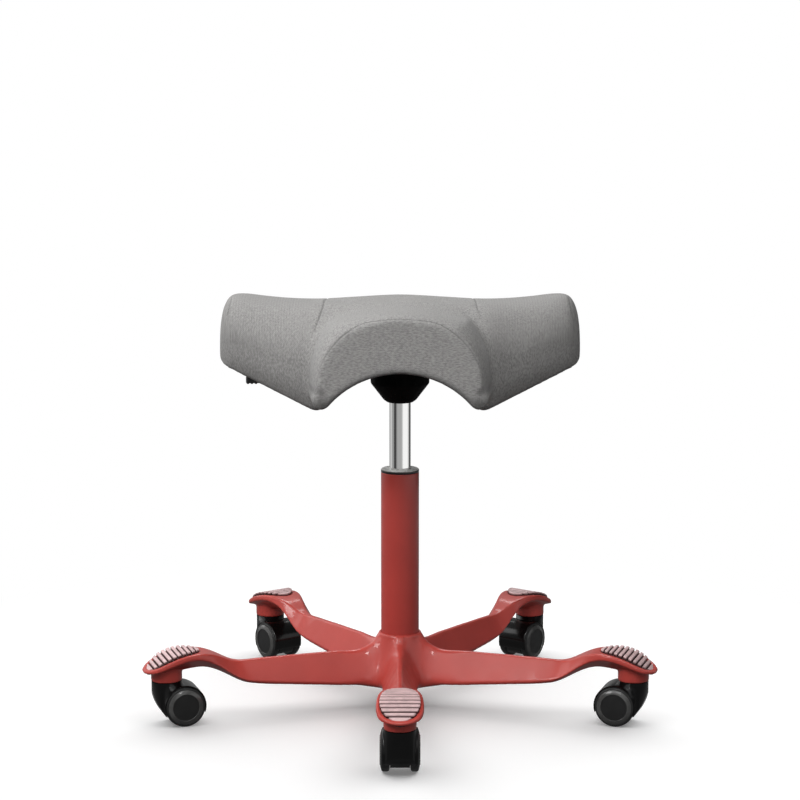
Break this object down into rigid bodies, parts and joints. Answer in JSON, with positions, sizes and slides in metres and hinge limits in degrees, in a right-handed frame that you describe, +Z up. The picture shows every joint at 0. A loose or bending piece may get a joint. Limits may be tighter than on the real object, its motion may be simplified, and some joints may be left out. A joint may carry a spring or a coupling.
{
  "type": "saddle chair",
  "caption": "Saddle stool with a winged cloth seat on a gas spring column, star base with ribbed foot pads and hooded castors; the seat turns and lifts.",
  "frame": {"origin": "on the floor under the column's axis", "axes": "+Z up along the column, -Y towards the front of the saddle, +X to the right as seen from the front"},
  "size_m": [0.664, 0.6333, 0.5465],
  "materials": {
    "painted_casting": "satin",
    "painted_tube": "satin",
    "pad_rubber": "matte",
    "castor_nylon": "satin",
    "wheel_nylon": "satin",
    "soft_tread": "matte",
    "steel": "satin",
    "dark_plastic": "matte",
    "bright_steel": "polished",
    "stop_rubber": "matte",
    "dark_casting": "satin",
    "dark_rod": "satin",
    "seat_foam": "matte",
    "grey_cloth": "matte"
  },
  "bodies": {
    "base": {"star_base": "painted_casting", "footrest_pad_1": "pad_rubber", "footrest_pad_2": "pad_rubber", "footrest_pad_3": "pad_rubber", "footrest_pad_4": "pad_rubber", "footrest_pad_5": "pad_rubber", "castor_stems": "steel", "stand_tube": "painted_tube", "column_collar": "dark_plastic", "column_cap": "bright_steel", "guide_bush": "dark_plastic", "thrust_bearing_lower": "steel"},
    "spindle": {"thrust_bearing_upper": "steel", "bump_stop": "stop_rubber", "piston_rod": "steel", "rod_clip": "steel", "piston": "steel"},
    "seat": {"pressure_tube": "bright_steel", "rod_guide": "dark_plastic", "valve_body": "steel", "mechanism_housing": "dark_casting", "seat_bracket": "steel", "seat_screws": "steel", "lever_pin": "steel", "seat_pan": "dark_plastic", "seat_foam": "seat_foam", "seat_cover": "grey_cloth"},
    "lever": {"height_lever": "dark_rod", "lever_grip": "dark_plastic"},
    "release": {"release_pin": "steel"},
    "castor_1": {"castor_hood_1": "castor_nylon", "castor_axle_1": "steel"},
    "left_wheel_1": {"wheel_1_left": "wheel_nylon", "tyre_1_left": "soft_tread"},
    "right_wheel_1": {"wheel_1_right": "wheel_nylon", "tyre_1_right": "soft_tread"},
    "castor_2": {"castor_hood_2": "castor_nylon", "castor_axle_2": "steel"},
    "left_wheel_2": {"wheel_2_left": "wheel_nylon", "tyre_2_left": "soft_tread"},
    "right_wheel_2": {"wheel_2_right": "wheel_nylon", "tyre_2_right": "soft_tread"},
    "castor_3": {"castor_hood_3": "castor_nylon", "castor_axle_3": "steel"},
    "left_wheel_3": {"wheel_3_left": "wheel_nylon", "tyre_3_left": "soft_tread"},
    "right_wheel_3": {"wheel_3_right": "wheel_nylon", "tyre_3_right": "soft_tread"},
    "castor_4": {"castor_hood_4": "castor_nylon", "castor_axle_4": "steel"},
    "left_wheel_4": {"wheel_4_left": "wheel_nylon", "tyre_4_left": "soft_tread"},
    "right_wheel_4": {"wheel_4_right": "wheel_nylon", "tyre_4_right": "soft_tread"},
    "castor_5": {"castor_hood_5": "castor_nylon", "castor_axle_5": "steel"},
    "left_wheel_5": {"wheel_5_left": "wheel_nylon", "tyre_5_left": "soft_tread"},
    "right_wheel_5": {"wheel_5_right": "wheel_nylon", "tyre_5_right": "soft_tread"}
  },
  "joints": [
    {"name": "seat_swivel", "type": "hinge", "parent": "base", "child": "spindle", "pos_m": [0, 0, 0.035], "axis": [0, 0, 1], "continuous": true},
    {"name": "seat_height", "type": "slide", "parent": "spindle", "child": "seat", "axis": [0, 0, 1], "range_m": [-0.08, 0.12]},
    {"name": "height_lever", "type": "hinge", "parent": "seat", "child": "lever", "pos_m": [-0.024, 0, 0.4583], "axis": [0, 1, 0], "range_deg": [0, 4], "stiffness_Nm_per_rad": 5, "springref_deg": -3.44},
    {"name": "release_travel", "type": "slide", "parent": "seat", "child": "release", "axis": [0, 0, -1], "range_m": [0, 0.0025]},
    {"name": "castor_swivel_1", "type": "hinge", "parent": "base", "child": "castor_1", "pos_m": [0, -0.316, 0.055], "axis": [0, 0, 1], "continuous": true},
    {"name": "left_wheel_spin_1", "type": "hinge", "parent": "castor_1", "child": "left_wheel_1", "pos_m": [0, -0.296, 0.026], "axis": [1, 0, 0], "continuous": true},
    {"name": "right_wheel_spin_1", "type": "hinge", "parent": "castor_1", "child": "right_wheel_1", "pos_m": [0, -0.296, 0.026], "axis": [1, 0, 0], "continuous": true},
    {"name": "castor_swivel_2", "type": "hinge", "parent": "base", "child": "castor_2", "pos_m": [0.30053, -0.09765, 0.055], "axis": [0, 0, 1], "continuous": true},
    {"name": "left_wheel_spin_2", "type": "hinge", "parent": "castor_2", "child": "left_wheel_2", "pos_m": [0.28151, -0.09147, 0.026], "axis": [0.309, 0.9511, 0], "continuous": true},
    {"name": "right_wheel_spin_2", "type": "hinge", "parent": "castor_2", "child": "right_wheel_2", "pos_m": [0.28151, -0.09147, 0.026], "axis": [0.309, 0.9511, 0], "continuous": true},
    {"name": "castor_swivel_3", "type": "hinge", "parent": "base", "child": "castor_3", "pos_m": [0.18574, 0.25565, 0.055], "axis": [0, 0, 1], "continuous": true},
    {"name": "left_wheel_spin_3", "type": "hinge", "parent": "castor_3", "child": "left_wheel_3", "pos_m": [0.17398, 0.23947, 0.026], "axis": [-0.809, 0.5878, 0], "continuous": true},
    {"name": "right_wheel_spin_3", "type": "hinge", "parent": "castor_3", "child": "right_wheel_3", "pos_m": [0.17398, 0.23947, 0.026], "axis": [-0.809, 0.5878, 0], "continuous": true},
    {"name": "castor_swivel_4", "type": "hinge", "parent": "base", "child": "castor_4", "pos_m": [-0.18574, 0.25565, 0.055], "axis": [0, 0, 1], "continuous": true},
    {"name": "left_wheel_spin_4", "type": "hinge", "parent": "castor_4", "child": "left_wheel_4", "pos_m": [-0.17398, 0.23947, 0.026], "axis": [-0.809, -0.5878, 0], "continuous": true},
    {"name": "right_wheel_spin_4", "type": "hinge", "parent": "castor_4", "child": "right_wheel_4", "pos_m": [-0.17398, 0.23947, 0.026], "axis": [-0.809, -0.5878, 0], "continuous": true},
    {"name": "castor_swivel_5", "type": "hinge", "parent": "base", "child": "castor_5", "pos_m": [-0.30053, -0.09765, 0.055], "axis": [0, 0, 1], "continuous": true},
    {"name": "left_wheel_spin_5", "type": "hinge", "parent": "castor_5", "child": "left_wheel_5", "pos_m": [-0.28151, -0.09147, 0.026], "axis": [0.309, -0.9511, 0], "continuous": true},
    {"name": "right_wheel_spin_5", "type": "hinge", "parent": "castor_5", "child": "right_wheel_5", "pos_m": [-0.28151, -0.09147, 0.026], "axis": [0.309, -0.9511, 0], "continuous": true}
  ],
  "couplings": [
    {"joint": "release_travel", "follows": "height_lever", "m_per_rad": 0.024}
  ]
}
